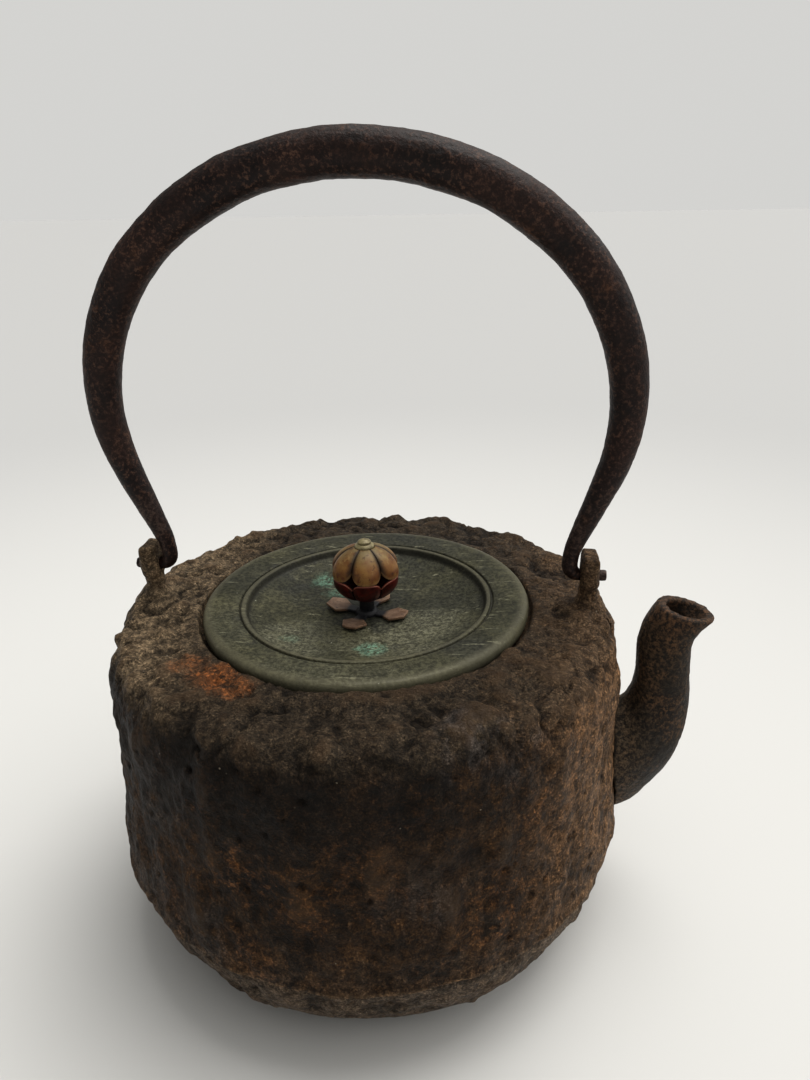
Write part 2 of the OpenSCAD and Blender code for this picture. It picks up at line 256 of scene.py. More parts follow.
def turned(name, outline, turns):
    """Closed solid of revolution about Z from a closed (r, z) outline."""
    n = len(outline)
    vertices = [(r * math.cos(a), r * math.sin(a), z)
                for a in (2 * math.pi * i / turns for i in range(turns)) for r, z in outline]
    faces = [(i * n + j, (i + 1) % turns * n + j, (i + 1) % turns * n + (j + 1) % n, i * n + (j + 1) % n)
             for i in range(turns) for j in range(n)]
    mesh = bpy.data.meshes.new(name)
    mesh.from_pydata(vertices, [], faces)
    mesh.validate()
    obj = add_object(name, mesh)
    smooth_shaded(obj)
    return obj


# ---------- node materials ----------

class Paint:
    """One node material; each method adds a node and returns its output."""

    def __init__(self, name):
        self.material = bpy.data.materials.new(name)
        self.material.use_nodes = True
        self.tree = self.material.node_tree
        self.tree.nodes.clear()
        self.place = self.add("ShaderNodeTexCoord").outputs["Object"]

    def add(self, kind, settings=None, **inputs):
        node = self.tree.nodes.new(kind)
        for key, value in (settings or {}).items():
            setattr(node, key, value)
        for key, value in inputs.items():
            self.put(node.inputs[key.replace("_", " ")], value)
        return node

    def put(self, socket, value):
        if isinstance(value, bpy.types.NodeSocket):
            self.tree.links.new(value, socket)
        elif isinstance(value, tuple) and len(value) == 3 and socket.type == "RGBA":
            socket.default_value = (*value, 1)
        else:
            socket.default_value = value

    def stretched(self, x, y, z, turn=0.0):
        node = self.add("ShaderNodeMapping", Vector=self.place, Scale=(x, y, z), Rotation=(0, 0, turn))
        return node.outputs[0]

    def noise(self, size, detail=3.0, roughness=0.55, at=None, warp=0.0):
        node = self.add("ShaderNodeTexNoise", Vector=at or self.place, Scale=1 / size,
                        Detail=detail, Roughness=roughness, Distortion=warp)
        return node.outputs["Fac"]

    def cells(self, size, at=None):
        node = self.add("ShaderNodeTexVoronoi", Vector=at or self.place, Scale=1 / size)
        return node.outputs["Distance"], node.outputs["Color"]

    def fade(self, value, low, high, to_low=0.0, to_high=1.0):
        node = self.add("ShaderNodeMapRange", {"interpolation_type": "SMOOTHSTEP"}, Value=value)
        for key, number in (("From Min", low), ("From Max", high), ("To Min", to_low), ("To Max", to_high)):
            node.inputs[key].default_value = number
        return node.outputs[0]

    def math(self, operation, a, b=0.0):
        node = self.add("ShaderNodeMath", {"operation": operation})
        self.put(node.inputs[0], a)
        self.put(node.inputs[1], b)
        return node.outputs[0]

    def times(self, *values):
        out = values[0]
        for value in values[1:]:
            out = self.math("MULTIPLY", out, value)
        return out

    def mix(self, share, a, b, blend="MIX"):
        node = self.add("ShaderNodeMix", {"data_type": "RGBA", "blend_type": blend})
        self.put(node.inputs["Factor"], share)
        self.put(node.inputs[6], a)
        self.put(node.inputs[7], b)
        return node.outputs[2]

    def scaled(self, color, factor):
        """The colour made darker or lighter."""
        return self.mix(1.0, color, (factor, factor, factor), "MULTIPLY")

    def value(self, name):
        return self.add("ShaderNodeAttribute", {"attribute_name": name}).outputs["Fac"]

    def side(self, axis):
        return self.add("ShaderNodeSeparateXYZ", Vector=self.place).outputs[axis]

    def height(self):
        return self.side(2)

    def radius(self):
        flat = self.add("ShaderNodeMapping", Vector=self.place, Scale=(1, 1, 0)).outputs[0]
        return self.add("ShaderNodeVectorMath", {"operation": "LENGTH"}, Vector=flat).outputs["Value"]

    def spot(self, centre, inner, outer):
        """1 within inner of a point, fading to 0 at outer, with a ragged edge."""
        node = self.add("ShaderNodeVectorMath", {"operation": "DISTANCE"})
        self.put(node.inputs[0], self.place)
        node.inputs[1].default_value = centre
        wander = self.math("SUBTRACT", self.noise(outer * 0.6, 5, 0.65), 0.5)
        ragged = self.math("MULTIPLY", wander, outer * 1.6)
        return self.fade(self.math("ADD", node.outputs["Value"], ragged), outer, inner)

    def spots(self, marks):
        """The strongest of several spots: each a centre and two radii in millimetres, and a strength."""
        total = None
        for centre, inner, outer, strength in marks:
            place = tuple(c * MM for c in centre)
            spot = self.math("MULTIPLY", self.spot(place, inner * MM, outer * MM), strength)
            total = spot if total is None else self.math("MAXIMUM", total, spot)
        return total

    def bump(self, height, depth, under=None):
        node = self.add("ShaderNodeBump", Height=height, Distance=depth, Strength=1.0)
        if under is not None:
            self.put(node.inputs["Normal"], under)
        return node.outputs[0]

    def finish(self, color, roughness, metallic=0.0, specular=0.5, normal=None):
        node = self.add("ShaderNodeBsdfPrincipled")
        self.put(node.inputs["Base Color"], color)
        self.put(node.inputs["Roughness"], roughness)
        node.inputs["Metallic"].default_value = metallic
        node.inputs["Specular IOR Level"].default_value = specular
        if normal is not None:
            self.put(node.inputs["Normal"], normal)
        out = self.add("ShaderNodeOutputMaterial")
        self.tree.links.new(node.outputs[0], out.inputs[0])
        return self.material


def body_iron():
    """Old rusted sand casting: near black, brown and rust, with grey streaks and a pale crust on top."""
    p = Paint("body_iron")
    relief = p.value("relief")
    broad = p.noise(0.03, 4, 0.6)
    mid = p.noise(0.008, 6, 0.7, warp=0.4)
    small = p.noise(0.0032, 5, 0.75, warp=0.3)
    fine = p.noise(0.0013, 4, 0.75)
    tiny_grain = p.noise(0.0006, 3, 0.75)
    color = p.mix(p.fade(broad, 0.38, 0.62), (0.0085, 0.0056, 0.0036), (0.021, 0.0125, 0.0066))
    color = p.mix(p.fade(mid, 0.44, 0.66, 0, 0.85), color, (0.05, 0.028, 0.0125))
    streaks = p.noise(0.0042, 5, 0.65, at=p.stretched(1, 1, 0.22), warp=0.3)
    color = p.mix(p.fade(streaks, 0.5, 0.68, 0, 0.5), color, (0.042, 0.0315, 0.0225))
    scattered = p.fade(p.noise(0.02, 6, 0.72, warp=0.5), 0.52, 0.64, 0, 0.6)
    rust = p.times(p.math("MAXIMUM", scattered, p.spots(RUST_SPOTS)), p.fade(small, 0.45, 0.6))
    color = p.mix(p.times(rust, 0.7), color, (0.062, 0.03, 0.0115))
    color = p.mix(p.times(rust, p.fade(fine, 0.48, 0.64), 0.55), color, (0.115, 0.05, 0.016))
    # Lighter mottled tan on the right side: a rust-brown tone plus painted light from the right.
    right = p.fade(p.side(0), 42 * MM, 74 * MM, 0, 0.85)
    color = p.mix(p.times(right, p.fade(small, 0.3, 0.6, 0.3, 1)), color, (0.145, 0.094, 0.056))
    # Upper body darker from 20 mm below the ring upwards, except on the right: soot, plus painted shade under
    # the bulging shoulder.
    soot_shade_height = p.fade(p.height(), RING_Z - 34 * MM, RING_Z - 20 * MM)
    soot_and_shade = p.times(soot_shade_height, p.fade(p.side(0), 50 * MM, 20 * MM))
    color = p.mix(p.times(soot_and_shade, 0.7), color, (0.0045, 0.0034, 0.0026))
    # Lighter towards the bottom of the body: a greyish-brown tone plus painted light bounced from the floor.
    low_body_tone_and_light = p.times(p.fade(p.height(), 52 * MM, 22 * MM), p.fade(small, 0.36, 0.6))
    color = p.mix(p.times(low_body_tone_and_light, 0.75), color, (0.08, 0.056, 0.038))
    # The pan below the ledge: a greyer tone, lightened as painted light to make up for the light it misses
    # facing down.
    low = p.times(p.fade(p.height(), LEDGE_Z - 0.2 * MM, LEDGE_Z - 1 * MM), p.fade(small, 0.3, 0.55, 0.3, 1))
    color = p.mix(p.times(low, 0.65), color, (0.085, 0.074, 0.062))
    # Painted highlight: a thin light line along the lip just above the ledge, where the edge catches light.
    above = p.fade(p.height(), LEDGE_Z + 2 * MM, LEDGE_Z + 0.6 * MM)
    lip = p.times(above, p.fade(p.height(), LEDGE_Z - 1 * MM, LEDGE_Z + 0.2 * MM), p.fade(small, 0.35, 0.55))
    color = p.mix(p.times(lip, 0.5), color, (0.13, 0.09, 0.055))
    top = p.times(p.fade(p.height(), RING_Z - 9 * MM, RING_Z - 1 * MM), p.fade(small, 0.32, 0.6, 0.45, 1))
    color = p.mix(p.times(top, 0.7), color, (0.041, 0.0335, 0.0245))
    left_top = p.times(top, p.fade(p.side(0), -34 * MM, -60 * MM))
    color = p.mix(p.times(left_top, 0.6), color, (0.17, 0.14, 0.1))
    blue = p.times(p.spots(GREY_SPOTS), p.fade(streaks, 0.4, 0.58))
    color = p.mix(p.times(blue, 0.7), color, (0.04, 0.039, 0.042))
    lugs = p.fade(p.height(), RING_Z + 1 * MM, RING_Z + 5 * MM, 0, 0.35)
    color = p.mix(p.times(lugs, p.fade(fine, 0.35, 0.6)), color, (0.1, 0.068, 0.042))
    color = p.mix(p.fade(small, 0.38, 0.62), p.scaled(color, 0.7), p.scaled(color, 1.35))
    color = p.mix(p.fade(fine, 0.38, 0.64), p.scaled(color, 0.62), p.scaled(color, 1.5))
    # Painted glints: tiny bright specks on the grain.
    color = p.mix(p.fade(tiny_grain, 0.52, 0.64, 0, 0.8), color, p.scaled(color, 2.7))
    color = p.mix(p.fade(tiny_grain, 0.46, 0.36, 0, 0.8), color, p.scaled(color, 0.3))
    # Painted shade: low relief, pits and crevices darkened.
    color = p.mix(p.fade(relief, -0.25, -1.1, 0, 0.6), color, PIT_SHADE_COLOR)
    hollow = p.times(p.value("hollow"), p.fade(fine, 0.3, 0.5, 0.6, 1), 0.85)
    color = p.mix(hollow, color, PIT_SHADE_COLOR)
    color = p.mix(p.fade(relief, 0.5, 1.3, 0, 0.3), color, (0.085, 0.056, 0.033))
    bright = p.times(p.spots(BRIGHT_RUST), p.fade(small, 0.34, 0.6))
    color = p.mix(p.times(bright, 0.85), color, (0.15, 0.06, 0.022))
    color = p.mix(p.times(bright, p.fade(fine, 0.5, 0.6), 0.9), color, (0.36, 0.14, 0.045))
    color = p.mix(1.0, color, (1.34, 1.18, 1.0), "MULTIPLY")
    # Painted glints: scattered pale specks.
    distance, tint = p.cells(0.0042)
    specks = p.times(p.fade(distance, 0.075, 0.04), p.fade(tint, 0.7, 0.72))
    color = p.mix(p.times(specks, 0.8), color, (0.36, 0.3, 0.22))
    normal = p.bump(tiny_grain, 0.0006)
    normal = p.bump(fine, 0.0013, normal)
    return p.finish(color, p.fade(mid, 0.3, 0.7, 0.45, 0.7), specular=0.14, normal=normal)


# Painted shade in pits and crevices: the darkest colour of the iron
PIT_SHADE_COLOR = (0.0035, 0.0026, 0.0018)
# Marks on the body: centre, inner and outer radius in millimetres, and strength
BRIGHT_RUST = [((-34, -46, 105), 3, 9, 1.0), ((-27, -50, 105), 2, 6, 0.7), ((-44, -40, 105), 2, 7, 0.5)]
RUST_SPOTS = [((-24, -74, 67), 3, 12, 1.0), ((-7, -78, 62), 3, 11, 0.9), ((9, -78, 80), 3, 12, 0.7),
              ((-21, -78, 41), 3, 12, 0.8), ((65, -43, 92), 5, 16, 0.9), ((57, -54, 78), 5, 18, 0.8),
              ((42, -67, 52), 5, 18, 0.7), ((35, -71, 28), 3, 13, 0.8), ((-12, -79, 27), 3, 12, 0.8),
              ((74, -28, 60), 6, 20, 0.7), ((-66, 42, 70), 6, 22, 0.7), ((10, 79, 60), 6, 24, 0.7),
              ((60, 52, 45), 5, 20, 0.7), ((-76, -20, 35), 4, 16, 0.6)]
GREY_SPOTS = [((-46, -63, 79), 6, 20, 0.6), ((-56, -57, 44), 8, 24, 0.5), ((-37, -71, 43), 5, 16, 0.5),
              ((34, -63, 104), 4, 13, 0.9), ((23, -75, 62), 4, 14, 0.6), ((46, -61, 97), 3, 10, 0.7),
              ((-60, 50, 50), 8, 26, 0.8), ((30, 73, 70), 8, 26, 0.8)]


def spout_iron():
    """Finer casting: dark grey brown with a dusting of rust, browner at the root and in the mouth."""
    p = Paint("spout_iron")
    relief = p.value("relief")
    broad = p.noise(0.018, 4, 0.6)
    fine = p.noise(0.0012, 4, 0.75)
    tiny_grain = p.noise(0.0005, 3, 0.7)
    color = p.mix(p.fade(broad, 0.36, 0.64), (0.0095, 0.0068, 0.0045), (0.023, 0.0165, 0.0105))
    rust = p.times(p.fade(p.noise(0.012, 6, 0.7), 0.42, 0.62), p.fade(fine, 0.42, 0.64))
    color = p.mix(p.times(rust, 0.75), color, (0.1, 0.05, 0.022))
    root = p.fade(p.radius(), SPOUT_HIGH.x - 12 * MM, SHELL_HIGH.x, 0, 0.6)
    color = p.mix(p.times(root, p.fade(fine, 0.35, 0.65)), color, (0.1, 0.068, 0.04))
    mouth = p.fade(p.height(), SPOUT_HIGH.z - 10 * MM, SPOUT_HIGH.z - 2 * MM, 0, 0.6)
    color = p.mix(p.times(mouth, p.fade(fine, 0.35, 0.62)), color, (0.085, 0.042, 0.02))
    color = p.mix(p.fade(fine, 0.4, 0.62), p.scaled(color, 0.55), p.scaled(color, 1.6))
    # Painted shade in pits and low relief.
    color = p.mix(p.fade(relief, -0.2, -0.9, 0, 0.6), color, (0.005, 0.004, 0.003))
    normal = p.bump(tiny_grain, 0.0003)
    normal = p.bump(fine, 0.0005, normal)
    return p.finish(color, p.fade(broad, 0.3, 0.7, 0.5, 0.7), specular=0.22, normal=normal)


def forged_iron():
    """Smooth dark purple-brown forging with fine brown flecks and a few rubbed places."""
    p = Paint("forged_iron")
    broad = p.noise(0.022, 4, 0.6)
    fine = p.noise(0.0011, 3, 0.7)
    color = p.mix(p.fade(broad, 0.36, 0.64), (0.0085, 0.0036, 0.003), (0.025, 0.0115, 0.0083))
    fleck = p.times(p.fade(fine, 0.5, 0.68), p.fade(p.noise(0.012, 4, 0.65), 0.35, 0.62))
    color = p.mix(p.times(fleck, 0.7), color, (0.085, 0.044, 0.028))
    rust = p.fade(p.noise(0.009, 6, 0.72), 0.56, 0.7)
    color = p.mix(p.times(rust, 0.5), color, (0.075, 0.032, 0.015))
    rubbed = p.times(p.fade(p.height(), RING_Z + 50 * MM, RING_Z + 25 * MM), p.fade(broad, 0.45, 0.6), 0.5)
    color = p.mix(p.times(rubbed, p.fade(fine, 0.35, 0.6)), color, (0.075, 0.054, 0.044))
    color = p.mix(p.fade(fine, 0.4, 0.62), p.scaled(color, 0.7), p.scaled(color, 1.35))
    # Painted shade in pits and low relief.
    color = p.mix(p.fade(p.value("relief"), -0.2, -0.9, 0, 0.6), color, (0.005, 0.0038, 0.0034))
    normal = p.bump(fine, 0.00025)
    return p.finish(color, p.fade(broad, 0.3, 0.7, 0.42, 0.6), specular=0.2, normal=normal)


def lid_bronze():
    """Olive grey-green bronze: satin, finely scratched, smudged round the knob, with painted shade and
    glints, and pale verdigris.
    """
    p = Paint("lid_bronze")
    broad = p.noise(0.022, 5, 0.6)
    mid = p.noise(0.005, 5, 0.65)
    fine = p.noise(0.0009, 3, 0.65)
    color = p.mix(p.fade(broad, 0.34, 0.66), (0.029, 0.0285, 0.017), (0.05, 0.048, 0.0275))
    color = p.mix(p.fade(mid, 0.45, 0.68, 0, 0.6), color, (0.08, 0.075, 0.042))
    # Lighter places: brushed wear, and painted glints on the dish and the front of the rim.
    brushed_and_glint = p.times(p.spots(BRUSHED_AND_GLINTS), p.fade(fine, 0.3, 0.65))
    color = p.mix(p.times(brushed_and_glint, 0.8), color, (0.15, 0.145, 0.1))
    # Darker places: smudges, plus painted shade at the back of the lid behind the ring, round the knob and on
    # the right front of the rim.
    smudge_and_shade = p.times(p.spots(SMUDGES_AND_SHADE), p.fade(mid, 0.25, 0.6))
    color = p.mix(p.times(smudge_and_shade, 0.75), color, (0.015, 0.0165, 0.0175))
    stains = p.fade(p.noise(0.009, 5, 0.7, warp=0.6), 0.57, 0.72)
    color = p.mix(p.times(stains, 0.45), color, (0.03, 0.031, 0.029))
    for centre, size, strength in VERDIGRIS:
        round_patch = p.spot((*centre, DISH_Z + 1 * MM), 0.3 * size, size)
        patch = p.times(round_patch, p.fade(fine, 0.35, 0.6), strength)
        color = p.mix(patch, color, (0.13, 0.25, 0.18))
    scratch_sum = None
    for turn, along in SCRATCH_TURNS:
        lines = p.noise(0.0012, 1, 0.5, at=p.stretched(along, 1, 1, turn))
        drawn = p.fade(lines, 0.68, 0.72)
        hit = p.times(drawn, p.fade(p.noise(0.007, 3, at=p.stretched(1, 1, 1, turn)), 0.5, 0.6))
        scratch_sum = hit if scratch_sum is None else p.math("MAXIMUM", scratch_sum, hit)
    color = p.mix(p.times(scratch_sum, 0.35), color, (0.26, 0.25, 0.17))
    grit = p.noise(0.0012, 4, 0.78)
    color = p.mix(p.fade(grit, 0.4, 0.6), p.scaled(color, 0.6), p.scaled(color, 1.5))
    distance, tint = p.cells(0.0048)
    specks = p.times(p.fade(distance, 0.06, 0.035), p.fade(tint, 0.72, 0.74))
    color = p.mix(p.times(specks, 0.85), color, (0.42, 0.41, 0.33))
    # Ring crest and outer rim lightened: wear, plus a painted highlight where the edges catch light.
    wear_and_highlight = p.value("wear_and_highlight")
    color = p.mix(p.times(wear_and_highlight, 0.55), color, (0.135, 0.125, 0.082))
    # Grooves beside the ring darkened: grime, plus painted shade in the groove and under the ring's inner
    # edge.
    color = p.mix(p.times(p.value("grime_and_shade"), 0.75), color, (0.022, 0.021, 0.017))
    normal = p.bump(mid, 0.0002)
    normal = p.bump(fine, 0.0001, normal)
    roughness = p.math("SUBTRACT", p.fade(broad, 0.3, 0.7, 0.4, 0.52), p.times(wear_and_highlight, 0.1))
    return p.finish(color, roughness, metallic=0.1, specular=0.12, normal=normal)


# Patches of verdigris: centre and size in metres, and strength
VERDIGRIS = [((-0.0168, 0.019), 6 * MM, 0.6), ((-0.011, 0.012), 6 * MM, 0.4),
             ((0.0305, 0.0265), 2.5 * MM, 0.9), ((0.0044, -0.0233), 6 * MM, 0.75),
             ((-0.02, -0.02), 4 * MM, 0.25)]
# Lighter places (brushed wear and painted glints) and darker places (smudges and painted shade) on the lid:
# centre, inner and outer radius in millimetres, and strength
BRUSHED_AND_GLINTS = [((10, -16, 102), 6, 22, 1.0), ((22, -8, 103), 4, 14, 0.9), ((-18, -20, 103), 5, 16, 0.8),
           ((0, -44, 107), 8, 30, 0.35), ((-40, -22, 107), 6, 20, 0.25)]
# Darker places: smudges, plus painted shade at the back of the lid and round the knob
SMUDGES_AND_SHADE = [((0, 2, 102), 8, 16, 0.9), ((-19, 10, 102), 5, 16, 0.8), ((10, 34, 104), 8, 26, 0.75),
           ((-20, 36, 105), 6, 20, 0.6), ((2, 44, 107), 16, 34, 0.8), ((-42, 10, 107), 6, 20, 0.4),
           ((30, 10, 104), 6, 18, 0.6), ((-30, 20, 104), 2, 9, 0.5), ((36, -33, 106), 4, 17, 0.85),
           ((-12, -14, 102), 2, 8, 0.5)]
# Sets of fine scratches: their turn in radians, and how long they are drawn out
SCRATCH_TURNS = [(0.4, 0.06), (1.1, 0.05), (1.9, 0.07), (2.8, 0.05)]


def tan_copper():
    """Tan to orange-brown copper, olive near the top, blotched brown low down, with painted shade in the
    joints.
    """
    p = Paint("tan_copper")
    broad = p.noise(0.006, 3, 0.55)
    mid = p.noise(0.0024, 4, 0.65)
    fine = p.noise(0.0007, 3, 0.65)
    color = p.mix(p.fade(broad, 0.35, 0.65), (0.135, 0.05, 0.0125), (0.23, 0.118, 0.034))
    color = p.mix(p.fade(mid, 0.52, 0.66, 0, 0.6), color, (0.36, 0.23, 0.085))
    up = p.times(p.fade(p.height(), BUD_LOW.z + 4 * MM, BUD_HIGH.z), p.fade(broad, 0.3, 0.6))
    color = p.mix(p.times(up, 0.7), color, (0.13, 0.115, 0.055))
    low = p.fade(p.height(), BUD_LOW.z + 6 * MM, BUD_LOW.z + 1 * MM)
    brown = p.times(p.fade(mid, 0.48, 0.6), low)
    color = p.mix(p.times(brown, 0.85), color, (0.1, 0.022, 0.009))
    stain = p.fade(p.noise(0.0016, 4, 0.65), 0.54, 0.66, 0, 0.7)
    color = p.mix(stain, color, (0.055, 0.022, 0.009))
    # Painted shade in the joints between petals.
    color = p.mix(p.fade(p.value("crease"), 0.6, 1.0, 0, 0.92), color, (0.012, 0.007, 0.005))
    color = p.mix(p.times(p.value("edge"), 0.5), color, (0.42, 0.25, 0.11))
    normal = p.bump(fine, 0.00006)
    return p.finish(color, p.fade(mid, 0.3, 0.7, 0.36, 0.52), metallic=0.1, specular=0.25, normal=normal)


def red_copper():
    """Deep red copper, lighter along the petals' free edges, with painted shade in the joints."""
    p = Paint("red_copper")
    mid = p.noise(0.0035, 4, 0.65)
    color = p.mix(p.fade(mid, 0.35, 0.65), (0.022, 0.001, 0.0008), (0.075, 0.005, 0.003))
    color = p.mix(p.fade(mid, 0.6, 0.72, 0, 0.5), color, (0.012, 0.004, 0.004))
    # Painted shade in the joints between petals.
    color = p.mix(p.fade(p.value("crease"), 0.8, 1.0, 0, 0.7), color, (0.01, 0.003, 0.003))
    color = p.mix(p.fade(p.value("edge"), 0.6, 1.0, 0, 0.85), color, (0.36, 0.13, 0.085))
    normal = p.bump(p.noise(0.0009, 3), 0.00004)
    return p.finish(color, 0.3, metallic=0.1, specular=0.25, normal=normal)


def dark_copper():
    """Blue-black copper whose lifted leaf tips are rubbed to a pinkish brown."""
    p = Paint("dark_copper")
    mid = p.noise(0.003, 4, 0.65)
    reach = p.fade(p.radius(), 5.6 * MM, 7.4 * MM)
    color = p.mix(p.fade(mid, 0.3, 0.7), (0.008, 0.0085, 0.011), (0.022, 0.021, 0.024))
    leaf = p.mix(p.fade(mid, 0.35, 0.65), (0.13, 0.072, 0.042), (0.24, 0.15, 0.095))
    leaf = p.mix(p.times(p.fade(p.noise(0.0015, 4, 0.7), 0.55, 0.66), 0.7), leaf, (0.03, 0.018, 0.014))
    color = p.mix(reach, color, leaf)
    normal = p.bump(p.noise(0.0009, 3), 0.00006)
    return p.finish(color, 0.42, metallic=0.2, specular=0.3, normal=normal)


def pale_brass():
    p = Paint("pale_brass")
    mid = p.noise(0.002, 4, 0.6)
    color = p.mix(p.fade(mid, 0.35, 0.65), (0.13, 0.105, 0.05), (0.26, 0.22, 0.11))
    normal = p.bump(p.noise(0.0007, 3), 0.00005)
    return p.finish(color, 0.42, metallic=0.3, specular=0.5, normal=normal)


# ---------- iron pieces ----------

def cast_relief(co):
    """Skin of the old casting: its height in metres, and how far each point lies in a pit or crevice."""
    r = np.hypot(co[:, 0], co[:, 1])
    z = co[:, 2]
    front = np.exp(-(((co[:, 0] - 14 * MM) / (30 * MM)) ** 2)) * ramp(-co[:, 1], 10 * MM, 40 * MM)
    upper = ramp(z, RING_Z - 14 * MM, RING_Z - 3 * MM)
    height = 0.6 * MM * layered(co, 24 * MM, 11, 3)
    height += 0.75 * MM * layered(co * np.array([1, 1, 0.6]), 6 * MM, 21, 3)
    height += 0.3 * MM * layered(co, 2.4 * MM, 31, 2)
    crust = layered(co, 8 * MM, 41, 3)
    height += upper * (1.9 * MM * np.abs(crust) - 0.45 * MM)
    crevice = upper * np.exp(-((crust / 0.09) ** 2)) * ramp(grain(co, 14 * MM, 43), -0.2, 0.4)
    height += 0.8 * MM * upper * ramp(r, 62 * MM, 70 * MM) * layered(co, 13 * MM, 51, 2)
    height += 0.5 * MM * (1 - upper) * layered(co * np.array([1, 1, 0.25]), 6 * MM, 45, 2)
    wide_pits = pits(co, 9 * MM, 61, 0.3)
    small_pits = pits(co, 4 * MM, 71, 0.2)
    crust_pits = upper * pits(co, 7 * MM, 75, 0.4)
    height -= MM * (0.8 * wide_pits + 0.8 * small_pits + 1.3 * crust_pits + 0.6 * crevice)
    hollow = np.max([crevice, 0.3 * wide_pits, 0.35 * small_pits, 0.6 * crust_pits], axis=0)
    height *= 1 - 0.6 * np.exp(-((z - LEDGE_Z) / (4 * MM)) ** 2)
    height *= 1 - 0.45 * ramp(r, 58 * MM, 53 * MM)
    lip = ramp(r, 60 * MM, 53 * MM) * ramp(z, RING_Z - 6 * MM, RING_Z - 2 * MM)
    height += lip * (0.2 * MM + 1.0 * MM * front)
    edge = np.exp(-((z - LEDGE_Z - 1 * MM) / (1.3 * MM)) ** 2) * ramp(r, 72 * MM, 75 * MM)
    height += 0.8 * MM * edge * (0.8 + grain(co, 9 * MM, 55))
    inside = ramp(r, 74 * MM, 72.5 * MM) * ramp(z, RING_Z - 6 * MM, RING_Z - 8 * MM)
    recess = ramp(r, 51.8 * MM, 51.3 * MM)
    return height * (1 - 0.7 * inside) * (1 - 0.85 * recess), hollow


def lug_mounds(co):
    """How far the crust is heaped up round the feet of the two lugs."""
    to_lug = np.hypot(np.abs(co[:, 0]) - LUG_X + 1.5 * MM, co[:, 1])
    r = np.hypot(co[:, 0], co[:, 1])
    top = ramp(co[:, 2], RING_Z - 10 * MM, RING_Z - 2 * MM) * ramp(r, 77 * MM, 71 * MM)
    return 3.0 * MM * np.exp(-(to_lug / (9 * MM)) ** 2) * top


def thinned(obj, most):
    """Joins triangles where the surface is smoothest until no more than the given number are left."""
    triangles = sum(len(p.vertices) - 2 for p in obj.data.polygons)
    if triangles > most:
        obj.modifiers.new("thin", "DECIMATE").ratio = most / triangles
        baked_modifiers(obj)


def make_shell(material):
    obj = grown_from("kettle_shell", ["body_shell"], 0.8 * MM)
    height, hollow = cast_relief(points_of(obj))
    raise_relief(obj, height, 1.0 * MM)
    set_value(obj, "hollow", hollow)
    co = points_of(obj)
    co[:, 2] += lug_mounds(co)
    set_points(obj, co)
    thinned(obj, MOST_TRIANGLES)
    return dressed(obj, material, "kettle", "body_iron", "body_shell")


def make_pan(material):
    obj = grown_from("kettle_bottom", ["bottom_pan"], 0.8 * MM)
    co = points_of(obj)
    r = np.hypot(co[:, 0], co[:, 1])
    height, hollow = cast_relief(co)
    height *= ramp(co[:, 2], 0.2 * MM, 4 * MM)
    seam = np.exp(-((co[:, 2] - LEDGE_Z + 1 * MM) / (1.4 * MM)) ** 2)
    height -= 1.1 * MM * seam * ramp(r, 70 * MM, 73 * MM)
    raise_relief(obj, height, 1.0 * MM)
    set_value(obj, "hollow", hollow)
    co = points_of(obj)
    co[:, 2] = np.maximum(co[:, 2], 0)
    set_points(obj, co)
    thinned(obj, MOST_TRIANGLES // 2)
    return dressed(obj, material, "kettle", "body_iron", "bottom_pan")


def make_spout(material):
    obj = grown_from("kettle_spout", ["spout"], 0.55 * MM, relax=4)
    co = points_of(obj)
    height = 0.28 * MM * layered(co, 14 * MM, 81, 3) + 0.1 * MM * layered(co, 2.2 * MM, 91, 3)
    height -= 0.25 * MM * pits(co, 5 * MM, 95, 0.3)
    raise_relief(obj, height, 0.4 * MM)
    return dressed(obj, material, "kettle", "spout_iron", "spout")


def make_lug(side, material):
    obj = grown_from(f"handle_lug_{side}", [f"lug_{side}"], 0.4 * MM, relax=2)
    co = points_of(obj)
    height = 0.3 * MM * layered(co, 5 * MM, 101, 3) + 0.08 * MM * layered(co, 1.2 * MM, 111, 2)
    raise_relief(obj, height, 0.5 * MM)
    return dressed(obj, material, "kettle", "body_iron", f"lug_{side}")


def make_handle(material):
    nodes = ["handle_grip", "handle_end_left", "handle_end_right"]
    obj = grown_from("bail_handle", nodes, 0.5 * MM, relax=5)
    co = points_of(obj)
    height = 0.22 * MM * layered(co, 11 * MM, 121, 2) + 0.05 * MM * layered(co, 1.4 * MM, 131, 3)
    height -= 0.12 * MM * pits(co, 3.5 * MM, 141, 0.3)
    height *= ramp(co[:, 2], 121 * MM, 128 * MM) * 0.9 + 0.1
    raise_relief(obj, height, 0.3 * MM)
    return dressed(obj, material, "handle", "forged_iron", *nodes)


def dressed(obj, material, body, slot, *nodes):
    """Gives a piece its material and body and hides the CAD nodes that it stands for; the slot argument is
    not used.
    """
    obj.data.materials.clear()
    obj.data.materials.append(material)
    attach(obj, body)
    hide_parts(*nodes)
    return obj


# ---------- lid ----------

